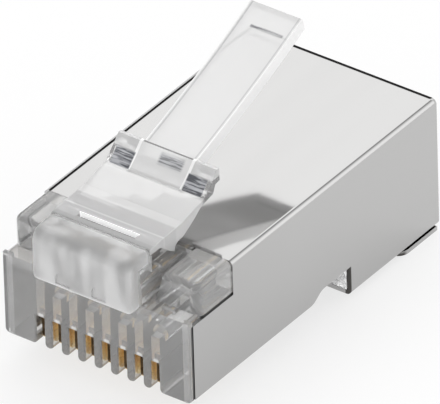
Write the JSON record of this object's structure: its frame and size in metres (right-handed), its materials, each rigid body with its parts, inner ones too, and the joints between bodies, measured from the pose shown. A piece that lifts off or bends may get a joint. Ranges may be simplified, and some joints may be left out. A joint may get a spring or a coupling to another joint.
{
  "type": "shielded modular plug",
  "caption": "Shielded modular plug for twisted-pair data cable: clear moulded body with a springy latch, a folded metal shield and gold blade contacts, not yet crimped.",
  "frame": {"origin": "middle of the underside of the plug, at the centre of its width and length", "axes": "+Y towards the cable end, -Y towards the nose, +Z towards the latch, +X to the right when looking from the nose end with the latch on top"},
  "size_m": [0.0116, 0.0224, 0.0143],
  "materials": {
    "clear_plastic": "clear moulded polycarbonate, glossy",
    "shield_metal": "bright nickel-plated sheet, mirror smooth",
    "contact_metal": "gold-plated, polished"
  },
  "bodies": {
    "plug": {"housing": "clear_plastic", "shield": "shield_metal"},
    "latch_body": {"latch": "clear_plastic"},
    "relief_body": {"strain_relief_bar": "clear_plastic"},
    "blade_1": {"contact_1": "contact_metal"},
    "blade_2": {"contact_2": "contact_metal"},
    "blade_3": {"contact_3": "contact_metal"},
    "blade_4": {"contact_4": "contact_metal"},
    "blade_5": {"contact_5": "contact_metal"},
    "blade_6": {"contact_6": "contact_metal"},
    "blade_7": {"contact_7": "contact_metal"},
    "blade_8": {"contact_8": "contact_metal"}
  },
  "joints": [
    {"name": "latch_hinge", "type": "hinge", "parent": "plug", "child": "latch_body", "pos_m": [0, -0.00925, 0.00923], "axis": [-1, 0, 0], "range_deg": [0, 10], "stiffness_Nm_per_rad": 0.13},
    {"name": "relief_hinge", "type": "hinge", "parent": "plug", "child": "relief_body", "pos_m": [0, 0.00285, 0.0025], "axis": [-1, 0, 0], "range_deg": [0, 25]},
    {"name": "contact_1_press", "type": "slide", "parent": "plug", "child": "blade_1", "axis": [0, 0, 1], "range_m": [0, 0.00045]},
    {"name": "contact_2_press", "type": "slide", "parent": "plug", "child": "blade_2", "axis": [0, 0, 1], "range_m": [0, 0.00045]},
    {"name": "contact_3_press", "type": "slide", "parent": "plug", "child": "blade_3", "axis": [0, 0, 1], "range_m": [0, 0.00045]},
    {"name": "contact_4_press", "type": "slide", "parent": "plug", "child": "blade_4", "axis": [0, 0, 1], "range_m": [0, 0.00045]},
    {"name": "contact_5_press", "type": "slide", "parent": "plug", "child": "blade_5", "axis": [0, 0, 1], "range_m": [0, 0.00045]},
    {"name": "contact_6_press", "type": "slide", "parent": "plug", "child": "blade_6", "axis": [0, 0, 1], "range_m": [0, 0.00045]},
    {"name": "contact_7_press", "type": "slide", "parent": "plug", "child": "blade_7", "axis": [0, 0, 1], "range_m": [0, 0.00045]},
    {"name": "contact_8_press", "type": "slide", "parent": "plug", "child": "blade_8", "axis": [0, 0, 1], "range_m": [0, 0.00045]}
  ]
}
